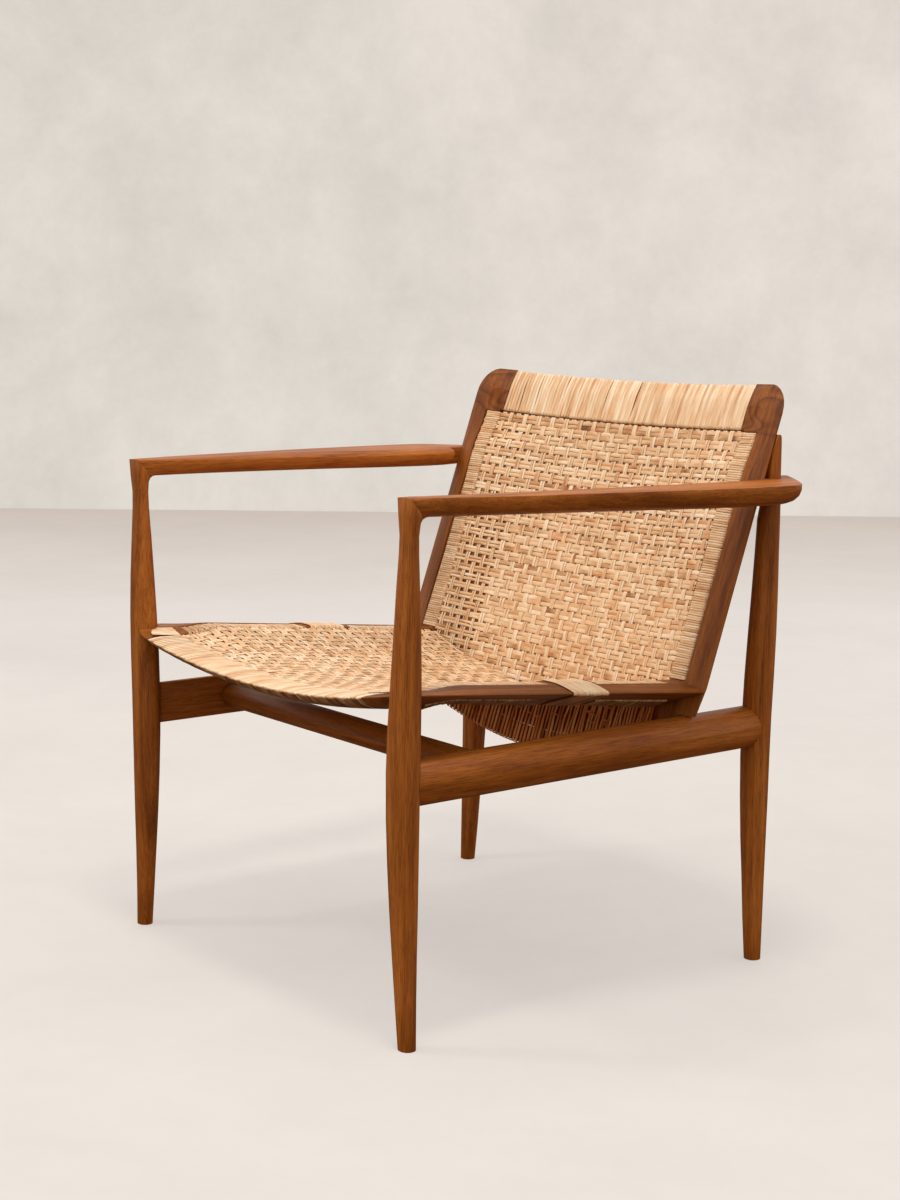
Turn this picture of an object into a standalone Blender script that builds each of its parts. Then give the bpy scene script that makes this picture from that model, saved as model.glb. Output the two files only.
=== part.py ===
"""Open-arm lounge chair: two wooden side frames, a cross rail, and a bent cane shell.

The chair faces -Y, stands on Z = 0 and is symmetric about X = 0. Metres throughout.
The seat and the back are each a wooden frame with slotted side members. Cane is
wrapped round the slotted lips and the curved end rails, and woven in between.
"""

import math

import bmesh
import bpy
from mathutils import Matrix, Vector

# ---------------------------------------------------------------- driving dimensions
GAP = 0.0003                    # clearance between pieces that touch
CENTRE_Y = 0.2774               # middle of the chair's depth, from the front legs' line

LEG_FRONT_Y = -0.0007           # centre of the front legs, front to back
LEG_BACK_FOOT_Y = 0.5265        # centre of the back legs at the floor
LEG_BACK_TOP_Y = 0.5350         # and at the arm
LEG_OUTER_X = 0.2910            # the outer side of every leg stands plumb here
POST_TOP_Z = 0.6410             # the back legs carry on above the arms to here

ARM_TOP_Z = 0.5950              # top of the arm at the front corner
ARM_FALL = 0.010                # fall of the arm per metre of run
ARM_CORNER_R = 0.012            # inside radius between leg and arm

STRETCHER_X = (0.2605, 0.2885)  # flat inner face, crown of the outer face
STRETCHER_Z = 0.2883            # centre height of the side stretchers
STRETCHER_HALF = 0.0255         # half their height
CROSS_Y, CROSS_Z = 0.1230, 0.2870
CROSS_HALF_Y, CROSS_HALF_Z = 0.0155, 0.0203

RIDGE_X = 0.2880                # outer arris of the seat and back frames
WOOD_X = 0.2556                 # where the wood face stops and the cane band starts
LIP_X = 0.2320                  # inner edge of the slotted lip
SLOT_X = (0.2536, 0.2578)       # slot between lip and face
FACE_RISE = 0.0060              # the face stands this much above the arris
RECESS = 0.0022                 # a wrapped member is smaller by this
CANE = 0.0016                   # thickness of a wrap
WEAVE = 0.0044                  # depth of the woven field and the strands that return behind it

SEAT_Z, SEAT_FALL = 0.3880, 0.1024      # arris height at Y = 0, fall towards the back
SEAT_FRONT_Y = -0.0240
FRONT_RAIL_Y = 0.0250                   # inner side of the front rail
FRONT_DIP, REAR_DIP = 0.0311, 0.0490    # how far the seat sinks in the middle
SEAT_CORNER = (0.0620, 0.0570)          # half axes of the seat's rounded front corners
MID_WRAP_Y = (0.2213, 0.2744)           # cane wrap round the bridge of a side rail
FRONT_BAND_Y = (0.0385, 0.2130)         # slots of the seat's side rails
REAR_BAND_Y = (0.2830, 0.3990)

BACK_Y, BACK_Z = 0.4461, 0.4000         # a point on the back's arris line
BACK_LEAN = math.radians(19.5)
BACK_TOP = 0.3187                       # length of the back above that point
TOP_RAIL_S = 0.2585                     # lower edge of the top rail
BACK_BOW = 0.0275                       # how far the back bows in the middle
BACK_BAND_S = (-0.0530, 0.2570)         # slot of a stile
WRAP_X = 0.2260                         # half width of the wrapped end rails
BACK_CORNER = (0.0345, 0.0360)          # half axes of the back's rounded top corners
BAR = 0.0145                            # thickness of the bottom rail, wrap included

UP = (math.sin(BACK_LEAN), math.cos(BACK_LEAN))       # along the back, (y, z)
OUT = (-math.cos(BACK_LEAN), math.sin(BACK_LEAN))     # out of its front face, (y, z)

# height, width across the chair, depth front to back
FRONT_LEG = ((0.0000, 0.0205, 0.0185), (0.0500, 0.0265, 0.0200), (0.1000, 0.0315, 0.0225),
             (0.1500, 0.0355, 0.0260), (0.2000, 0.0388, 0.0286), (0.2500, 0.0408, 0.0306),
             (0.3000, 0.0405, 0.0322), (0.3500, 0.0370, 0.0332), (0.4000, 0.0320, 0.0325),
             (0.4500, 0.0283, 0.0290), (0.5000, 0.0265, 0.0230), (0.5350, 0.0245, 0.0182),
             (0.5550, 0.0235, 0.0176))
BACK_LEG = ((0.0000, 0.0200, 0.0190), (0.0500, 0.0250, 0.0215), (0.1000, 0.0290, 0.0235),
            (0.1500, 0.0335, 0.0260), (0.2000, 0.0365, 0.0284), (0.2500, 0.0388, 0.0290),
            (0.3000, 0.0385, 0.0300), (0.3500, 0.0355, 0.0330), (0.4000, 0.0318, 0.0342),
            (0.4500, 0.0290, 0.0325), (0.5000, 0.0275, 0.0285), (0.5400, 0.0262, 0.0268),
            (0.5620, 0.0225, 0.0235), (0.5800, 0.0190, 0.0190), (0.6000, 0.0182, 0.0180),
            (0.6300, 0.0176, 0.0174), (0.6372, 0.0160, 0.0158), (0.6400, 0.0122, 0.0120),
            (0.6410, 0.0060, 0.0060))
# along the arm: inner edge, outer edge, thickness
ARM = ((0.0200, 0.2680, 0.2955, 0.0212), (0.0500, 0.2690, 0.3045, 0.0214),
       (0.1000, 0.2705, 0.3160, 0.0218), (0.1500, 0.2715, 0.3255, 0.0224),
       (0.2000, 0.2725, 0.3340, 0.0230), (0.2500, 0.2732, 0.3420, 0.0237),
       (0.3000, 0.2738, 0.3495, 0.0245), (0.3500, 0.2742, 0.3560, 0.0254),
       (0.4000, 0.2745, 0.3612, 0.0262), (0.4400, 0.2742, 0.3640, 0.0266),
       (0.4650, 0.2735, 0.3652, 0.0266), (0.4840, 0.2725, 0.3650, 0.0262),
       (0.4950, 0.2715, 0.3628, 0.0256), (0.5050, 0.2700, 0.3565, 0.0246),
       (0.5190, 0.2670, 0.3420, 0.0232), (0.5340, 0.2630, 0.3240, 0.0214),
       (0.5480, 0.2590, 0.3060, 0.0190), (0.5610, 0.2565, 0.2885, 0.0160),
       (0.5700, 0.2560, 0.2755, 0.0122), (0.5760, 0.2585, 0.2680, 0.0080))


# ---------------------------------------------------------------- mesh helpers
def clear_scene():
    for obj in list(bpy.data.objects):
        bpy.data.objects.remove(obj, do_unlink=True)


def new_collection(name, hidden=False):
    made = bpy.data.collections.new(name)
    made.hide_render = hidden
    bpy.context.scene.collection.children.link(made)
    return made


def material(name, colour, roughness):
    made = bpy.data.materials.new(name)
    made.use_nodes = True
    shader = made.node_tree.nodes["Principled BSDF"]
    shader.inputs["Base Color"].default_value = (*colour, 1.0)
    shader.inputs["Roughness"].default_value = roughness
    return made


def add_mesh(name, verts, faces, home, sharp=40.0, orient=True):
    mesh = bpy.data.meshes.new(name)
    mesh.from_pydata([tuple(v) for v in verts], [], faces)
    if orient:
        shaped = bmesh.new()
        shaped.from_mesh(mesh)
        bmesh.ops.recalc_face_normals(shaped, faces=shaped.faces)
        shaped.to_mesh(mesh)
        shaped.free()
    mesh.shade_smooth()
    mesh.set_sharp_from_angle(angle=math.radians(sharp))
    obj = bpy.data.objects.new(name, mesh)
    home.objects.link(obj)
    return obj


def loft(name, rings, home):
    """A closed body through rings of equal length, with a flat cap at each end."""
    count = len(rings[0])
    verts = [point for ring in rings for point in ring]
    faces = []
    for i in range(len(rings) - 1):
        for j in range(count):
            a, b = i * count + j, i * count + (j + 1) % count
            faces.append((a, b, b + count, a + count))
    faces.append(tuple(range(count)))
    faces.append(tuple(range(len(verts) - count, len(verts))))
    return add_mesh(name, verts, faces, home)


def wrap_tube(name, rings, thickness, home):
    """A tube open at both ends through the rings, thickened inwards."""
    count = len(rings[0])
    verts = [point for ring in rings for point in ring]
    faces = []
    for i in range(len(rings) - 1):
        for j in range(count):
            a, b = i * count + j, i * count + (j + 1) % count
            faces.append((a, b, b + count, a + count))
    return thicken(add_mesh(name, verts, faces, home), thickness)


def field(name, rows, thickness, home):
    """A slab behind a grid of points."""
    wide = len(rows[0])
    verts = [point for row in rows for point in row]
    faces = [(i * wide + j, i * wide + j + 1, (i + 1) * wide + j + 1, (i + 1) * wide + j)
             for i in range(len(rows) - 1) for j in range(wide - 1)]
    return thicken(add_mesh(name, verts, faces, home, orient=False), thickness)


def thicken(obj, thickness):
    modifier = obj.modifiers.new("thickness", "SOLIDIFY")
    modifier.thickness = thickness
    modifier.offset = -1.0
    modifier.use_even_offset = True
    modifier.use_quality_normals = True
    return obj


def along(obj, start, end):
    """Stand an object made along +Z at start, pointing to end."""
    start, end = Vector(start), Vector(end)
    obj.location = start
    obj.rotation_euler = (end - start).to_track_quat("Z", "Y").to_euler()
    return obj


def rod(name, start, end, radius, home, chamfer=0.0, sides=12):
    """A round bar, or a bore, between two points."""
    length = (Vector(end) - Vector(start)).length
    mesh = bpy.data.meshes.new(name)
    shaped = bmesh.new()
    bmesh.ops.create_cone(shaped, cap_ends=True, segments=sides, radius1=radius, radius2=radius, depth=length,
                          matrix=Matrix.Translation((0, 0, length / 2)))
    shaped.to_mesh(mesh)
    shaped.free()
    mesh.shade_smooth()
    mesh.set_sharp_from_angle(angle=math.radians(40))
    obj = bpy.data.objects.new(name, mesh)
    home.objects.link(obj)
    if chamfer:
        modifier = obj.modifiers.new("chamfer", "BEVEL")
        modifier.width = chamfer
        modifier.limit_method = "ANGLE"
        modifier.angle_limit = math.radians(60)
    return along(obj, start, end)


def turned(name, start, end, profile, home):
    """A turned piece: profile holds (distance from start, radius) pairs from the far end to the start."""
    mesh = bpy.data.meshes.new(name)
    mesh.from_pydata([(radius, 0.0, height) for height, radius in profile],
                     [(k, k + 1) for k in range(len(profile) - 1)], [])
    obj = bpy.data.objects.new(name, mesh)
    home.objects.link(obj)
    modifier = obj.modifiers.new("turn", "SCREW")
    modifier.steps = modifier.render_steps = 12
    modifier.use_merge_vertices = True
    modifier.merge_threshold = 0.00001
    modifier.use_smooth_shade = True
    return along(obj, start, end)


def box(name, low, high, home):
    mesh = bpy.data.meshes.new(name)
    shaped = bmesh.new()
    size = Vector(high) - Vector(low)
    middle = (Vector(high) + Vector(low)) / 2
    bmesh.ops.create_cube(shaped, size=1.0, matrix=Matrix.Translation(middle) @ Matrix.Diagonal((*size, 1.0)))
    shaped.to_mesh(mesh)
    shaped.free()
    obj = bpy.data.objects.new(name, mesh)
    home.objects.link(obj)
    return obj


def cut(obj, cutters):
    for cutter in cutters:
        modifier = obj.modifiers.new("cut_" + cutter.name, "BOOLEAN")
        modifier.operation = "DIFFERENCE"
        modifier.solver = "EXACT"
        modifier.object = cutter


def mirrored(rings, side):
    return rings if side > 0 else [[(-x, y, z) for x, y, z in ring] for ring in rings]


def power(value, exponent):
    return math.copysign(abs(value) ** exponent, value)


# ---------------------------------------------------------------- sections
def section(x_in, x_out, inner, outer, shoulders=(0.0, 0.0), exponents=(2.2, 2.2, 2.2, 2.2), count=20):
    """One closed ring in the plane that holds X and the line from inner to outer, both (y, z).

    shoulders place the widest points on the inboard and outboard side, from -1 at
    inner to 1 at outer. exponents give each quadrant's squareness: outer-outboard,
    outer-inboard, inner-inboard, inner-outboard.
    """
    middle_x, half_x = (x_in + x_out) / 2, (x_out - x_in) / 2
    ring = []
    for k in range(count):
        angle = 2 * math.pi * (k + 0.5) / count
        c, s = math.cos(angle), math.sin(angle)
        quadrant = (0 if c > 0 else 1) if s > 0 else (2 if c < 0 else 3)
        e = 2 / exponents[quadrant]
        shoulder = shoulders[0] if c < 0 else shoulders[1]
        across = power(c, e)
        rise = abs(s) ** e
        v = shoulder + (1 - shoulder) * rise if s > 0 else shoulder - (1 + shoulder) * rise
        share = (v + 1) / 2
        ring.append((middle_x + half_x * across,
                     inner[0] + (outer[0] - inner[0]) * share,
                     inner[1] + (outer[1] - inner[1]) * share))
    return ring


def leg_rings(stations, centre_y, grow=0.0):
    rings = []
    for z, width, depth in stations:
        y = centre_y(z)
        rings.append(section(LEG_OUTER_X - width - grow, LEG_OUTER_X + grow,
                             (y + depth / 2 + grow, z), (y - depth / 2 - grow, z)))
    return rings


def front_leg_y(z):
    return LEG_FRONT_Y


def back_leg_y(z):
    share = min(1.0, z / ARM_TOP_Z)
    return LEG_BACK_FOOT_Y + (LEG_BACK_TOP_Y - LEG_BACK_FOOT_Y) * share


def elbow(angle):
    """Inner and outer (y, z) of the bend from leg (0) to arm (90 degrees)."""
    depth = FRONT_LEG[-1][2]
    front, back = LEG_FRONT_Y - depth / 2, LEG_FRONT_Y + depth / 2
    low = ARM_TOP_Z - ARM[0][3]
    centre = (back + ARM_CORNER_R, low - ARM_CORNER_R)
    c, s = math.cos(math.radians(angle)), math.sin(math.radians(angle))
    inner = (centre[0] - ARM_CORNER_R * c, centre[1] + ARM_CORNER_R * s)
    to_side, to_top = centre[0] - front, ARM_TOP_Z - centre[1]
    corner = math.degrees(math.atan2(to_top, to_side))
    reach = to_side / c if angle <= corner else to_top / s
    return inner, (centre[0] - reach * c, centre[1] + reach * s), corner


def mitre_ring(shift):
    """The ring on the mitre between leg and arm, moved along the arm by shift."""
    corner = elbow(45.0)[2]
    inner, outer, _ = elbow(corner)
    return section(0.2672, 0.2935, (inner[0] + shift, inner[1]), (outer[0] + shift, outer[1]),
                   (0.35, 0.35), (5.0, 5.0, 2.6, 2.6))


def front_leg(side, home):
    rings = leg_rings(FRONT_LEG, front_leg_y)
    inner, outer, corner = elbow(corner_share(0.5))
    rings.append(section(0.2674, 0.2925, inner, outer, (0.15, 0.15), (3.4, 3.4, 2.4, 2.4)))
    rings.append(mitre_ring(-GAP / 2))
    return loft("leg_front_" + word(side), mirrored(rings, side), home)


def corner_share(share):
    return elbow(45.0)[2] * share


def arm_rings():
    corner = elbow(45.0)[2]
    inner, outer, _ = elbow((corner + 90) / 2)
    rings = [mitre_ring(GAP / 2),
             section(0.2676, 0.2945, inner, outer, (0.55, 0.6), (6.0, 6.0, 2.6, 2.6))]
    for y, x_in, x_out, thick in ARM:
        top = ARM_TOP_Z - ARM_FALL * y
        roundover = min(0.55, 0.16 + 1.1 * y)
        rings.append(section(x_in, x_out, (y, top - thick), (y, top),
                             (1 - 2 * roundover * min(1.0, 0.020 / thick), 0.82),
                             (9.0, 3.2, 2.5, 2.5)))
    return rings


def stretcher_rings(low_y, high_y):
    """A side stretcher: flat inside, crowned outside, the same section from end to end."""
    x_in, x_out = STRETCHER_X
    shoulder = x_in + 0.006
    ring = []
    for n in range(24):
        angle = 2 * math.pi * (n + 0.5) / 24
        c, s = math.cos(angle), math.sin(angle)
        across = power(c, 2 / 2.1) * (x_out - shoulder) if c > 0 else power(c, 2 / 5.0) * 0.006
        ring.append((shoulder + across, STRETCHER_Z + STRETCHER_HALF * power(s, 2 / 2.3)))
    return [[(x, y, z) for x, z in ring] for y in (low_y, high_y)]


# ---------------------------------------------------------------- shell surfaces
def smooth_step(value, low, high):
    t = max(0.0, min(1.0, (value - low) / (high - low)))
    return t * t * (3 - 2 * t)


def seat_point(x, y, h):
    return (x, y, SEAT_Z - SEAT_FALL * y + h)


def back_point(x, s, h):
    return (x, BACK_Y + UP[0] * s + OUT[0] * h, BACK_Z + UP[1] * s + OUT[1] * h)


def seat_frame_dip(x, y):
    return FRONT_DIP * max(0.0, 1 - (x / RIDGE_X) ** 2) * (1 - smooth_step(y, 0.026, 0.085))


def back_frame_dip(x, s):
    return 0.0240 * max(0.0, 1 - (x / RIDGE_X) ** 2) * smooth_step(s, 0.200, 0.256)


def seat_cane_height(x, y):
    """Height of the woven seat above the arris line."""
    blend = 1 - smooth_step(y, 0.026, 0.085)
    reach = 0.2315 + (RIDGE_X - 0.2315) * blend
    dip = FRONT_DIP + (REAR_DIP - FRONT_DIP) * max(0.0, y) / 0.43
    return FACE_RISE - 0.0006 - dip * (1 - (x / reach) ** 2)


def back_cane_height(x, s):
    blend = smooth_step(s, 0.200, 0.256)
    reach = 0.2315 + (RIDGE_X - 0.2315) * blend
    bow = BACK_BOW + (0.0240 - BACK_BOW) * blend
    return FACE_RISE - 0.0006 - bow * (1 - (x / reach) ** 2)


def crease(x):
    """Distance along the back where the woven seat meets the woven back."""
    s = -0.07
    for _ in range(40):
        h = back_cane_height(x, s)
        y = back_point(x, s, h)[1]
        z = seat_point(x, y, seat_cane_height(x, y))[2]
        s += 0.8 * ((z - BACK_Z - OUT[1] * h) / UP[1] - s)
    return s


def bottom_edge(x):
    """Lower edge of the bottom rail, along the back."""
    return -0.1760 + 0.0460 * (x / 0.24) ** 2


# ---------------------------------------------------------------- shell frame members
def seat_depth(y):
    """Depth of a side rail's inner lip: the rail thickens towards the back."""
    return 0.0170 + 0.0235 * max(0.0, min(0.40, y - 0.035))


def back_depth(s):
    return 0.0180 + 0.0700 * max(0.0, -0.05 - s)


def member_profile(across, depth, wood, deep, end=0.0):
    """(distance from the arris, height) round a member: a wedge that is thickest at its lip.

    wood is where the face stops and the wrapped part starts, lower by deep. end is 0
    for the wedge of the side members and 1 for the rounded section of the end rails.
    """
    wedge = [(across, 0.0020 - depth), (across - 0.0020, 0.0012 - depth), (0.66 * across, -0.66 * depth),
             (0.30 * across, -0.34 * depth), (0.06 * across, -0.0026), (0.0, -0.0012)]
    round_ = [(across, -0.0045), (0.955 * across, -0.0088), (0.74 * across, -0.0125),
              (0.44 * across, -0.0120), (0.17 * across, -0.0076), (0.02 * across, -0.0020)]
    lower = [(a[0] + (b[0] - a[0]) * end, a[1] + (b[1] - a[1]) * end) for a, b in zip(wedge, round_)]
    wood = max(0.0040, wood)
    face = [(0.0, 0.0)]
    for share in (0.25, 0.6):
        face.append((wood * share, FACE_RISE * min(1.0, wood * share / 0.030) ** 0.8))
    rise = FACE_RISE * min(1.0, wood / 0.028) ** 0.8
    top = FACE_RISE - deep
    return face + [(wood - 0.0003, rise), (wood, min(rise, top)), (across - 0.0015, top),
                   (across, top - 0.0015)] + lower


def place(point, dip, outer, inner, profile):
    """The profile set up on the line from an outer to an inner plan point (x, along)."""
    across = math.hypot(outer[0] - inner[0], outer[1] - inner[1])
    ring = []
    for distance, h in profile:
        share = distance / across
        x, v = (outer[k] + (inner[k] - outer[k]) * share for k in (0, 1))
        ring.append(point(x, v, h - dip(x, v)))
    return ring


def corner_lines(turn, inner_line, outer_line, axes):
    """(outer, inner, angle) plan points round a corner head, from the side to the end rail."""
    centre = (RIDGE_X - axes[0], outer_line - turn * axes[1])
    lines = []
    for angle in (0, 14, 28, 42, 56, 70, 82):
        c, s = math.cos(math.radians(angle)), math.sin(math.radians(angle))
        outer = (centre[0] + axes[0] * c, centre[1] + turn * axes[1] * s)
        start = inner_line - turn * 0.0006
        lines.append((outer, (LIP_X - 0.0002 - 0.000025 * angle, start + turn * 0.0000065 * angle), angle))
    return lines + [((WRAP_X, outer_line), (WRAP_X, inner_line), 90)]


def side_member(name, point, dip, depth, straight, corner, crescent, side, home):
    """A slotted side member that ends in a rounded corner head.

    straight lists (along, outer x, recessed). crescent is True where the cane
    spreads over the head and leaves a crescent of wood outside it.
    """
    rings = []
    for v, outer_x, recessed in straight:
        profile = member_profile(outer_x - LIP_X, depth(v), outer_x - WOOD_X, RECESS if recessed else 0.0002)
        rings.append(place(point, dip, (outer_x, v), (LIP_X, v), profile))
    for outer, inner, angle in corner_lines(*corner):
        across = math.hypot(outer[0] - inner[0], outer[1] - inner[1])
        wood = across * (0.58 - 0.44 * (angle / 90) ** 1.5) if crescent else 0.0324
        profile = member_profile(across, depth(outer[1]), wood, RECESS if crescent else 0.0002, angle / 90)
        rings.append(place(point, dip, outer, inner, profile))
    return loft(name, mirrored(rings, side), home)


def corner_cane(name, side, home):
    """The cane that spreads over a front corner, inside the crescent of wood."""
    rows = []
    for outer, inner, angle in corner_lines(-1, FRONT_RAIL_Y, SEAT_FRONT_Y, SEAT_CORNER):
        across = math.hypot(outer[0] - inner[0], outer[1] - inner[1])
        low, high = across * (0.58 - 0.44 * (angle / 90) ** 1.5) + GAP, across - 0.0010
        shift = 0.0006 if angle == 90 else 0.0
        ring = place(seat_point, seat_frame_dip, (outer[0] + shift, outer[1]), (inner[0] + shift, inner[1]),
                     [(low + (high - low) * k / 4, FACE_RISE) for k in range(5)])
        rows.append(ring[::-1] if side > 0 else ring)
    field(name, mirrored(rows[::-1], side), RECESS - 2 * GAP, home)


def end_rail_profile(turn, inner_line, outer_line):
    """(along, height) round the section of an end rail, wrap included."""
    across = abs(outer_line - inner_line)
    outline = member_profile(across, 0.018, 0.6 * across, 0.0, 1.0)
    return [(outer_line - turn * distance, h) for distance, h in outline[:3] + outline[5:-1]]


def inset(outline, distance):
    """The closed outline moved inwards by distance."""
    points = [Vector(p) for p in outline]
    area = sum(a.cross(b) for a, b in zip(points, points[1:] + points[:1]))
    turn = 1 if area > 0 else -1
    moved = []
    for before, here, after in zip(points[-1:] + points[:-1], points, points[1:] + points[:1]):
        one, two = (here - before).normalized(), (after - here).normalized()
        normals = [Vector((-d.y, d.x)) * turn for d in (one, two)]
        middle = (normals[0] + normals[1]).normalized()
        moved.append(tuple(here + middle * (distance / max(0.5, middle.dot(normals[0])))))
    return moved


def swept_rail(point, dip, profile, half, steps):
    rings = []
    for k in range(steps + 1):
        x = -half + 2 * half * k / steps
        rings.append([point(x, v, h - dip(x, v)) for v, h in profile])
    return rings


def end_rail(name, wrap_name, point, dip, lines, home):
    """A curved end rail and the cane wrapped round it."""
    whole = end_rail_profile(*lines)
    half = WRAP_X - GAP
    loft(name, swept_rail(point, dip, inset(whole, CANE + GAP), half, 18), home)
    wrap_tube(wrap_name, swept_rail(point, dip, whole, half, 18), CANE, home)


def curved_bar(point, low, high, front, back, half, steps=14, shrink=0.0):
    """A bar across the chair whose sides follow functions of x."""
    rings = []
    for k in range(steps + 1):
        x = -half + 2 * half * k / steps
        a, b, f, r, c = low(x), high(x), front(x), back(x), 0.0040
        outline = [(a + c, f), (b - c, f), (b, f - c), (b, r + c), (b - c, r), (a + c, r), (a, r + c), (a, f - c)]
        rings.append([point(x, v, h) for v, h in (inset(outline, shrink) if shrink else outline)])
    return rings


def lip_wrap(name, point, dip, depth, stations, side, home):
    """The dense band: cane wrapped round a lip, down through the slot."""
    rings = []
    for v in stations:
        low = depth(v)
        outline = [(SLOT_X[0], FACE_RISE - RECESS), (LIP_X, FACE_RISE - RECESS), (LIP_X, -low),
                   (SLOT_X[0], -0.62 * low)]
        rings.append([point(x, v, h - dip(x, v)) for x, h in inset(outline, -(2 * GAP + CANE))])
    wrap_tube(name, mirrored(rings, side), CANE, home)


def bridge_wrap(name, side, home):
    """Cane round the whole side rail at the solid bridge between its slots."""
    low, high = MID_WRAP_Y
    rings = []
    for k in range(4):
        y = low + (high - low) * k / 3
        outline = member_profile(RIDGE_X - LIP_X, seat_depth(y), RIDGE_X - WOOD_X, 0.0002)
        outline = outline[:4] + outline[5:]
        rings.append([seat_point(RIDGE_X - distance, y, h) for distance, h in inset(outline, -(GAP + CANE))])
    wrap_tube(name, mirrored(rings, side), CANE, home)


# ---------------------------------------------------------------- assembly
def word(side):
    return "right" if side > 0 else "left"


def side_stations():
    """(along, wrapped) down a seat side rail, from the back to the front corner."""
    front, rear = FRONT_BAND_Y, REAR_BAND_Y
    found = [(0.4300, False), (rear[1], False)]
    found += [(v, True) for v in (rear[1] - 0.0006, 0.3600, 0.3200, rear[0] + 0.0006)]
    found += [(rear[0], False), (front[1], False)]
    found += [(v, True) for v in (front[1] - 0.0006, 0.1500, 0.0900, 0.0820, 0.0740, 0.0640, 0.0540, 0.0460,
                                  front[0] + 0.0006)]
    return found + [(front[0], False), (0.0360, False)]


BACK_STATIONS = [BACK_BAND_S[0] + 0.0006, 0.0500, 0.1300, 0.1950, 0.2080, 0.2200, 0.2320, 0.2440,
                 BACK_BAND_S[1] - 0.0006]


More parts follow.
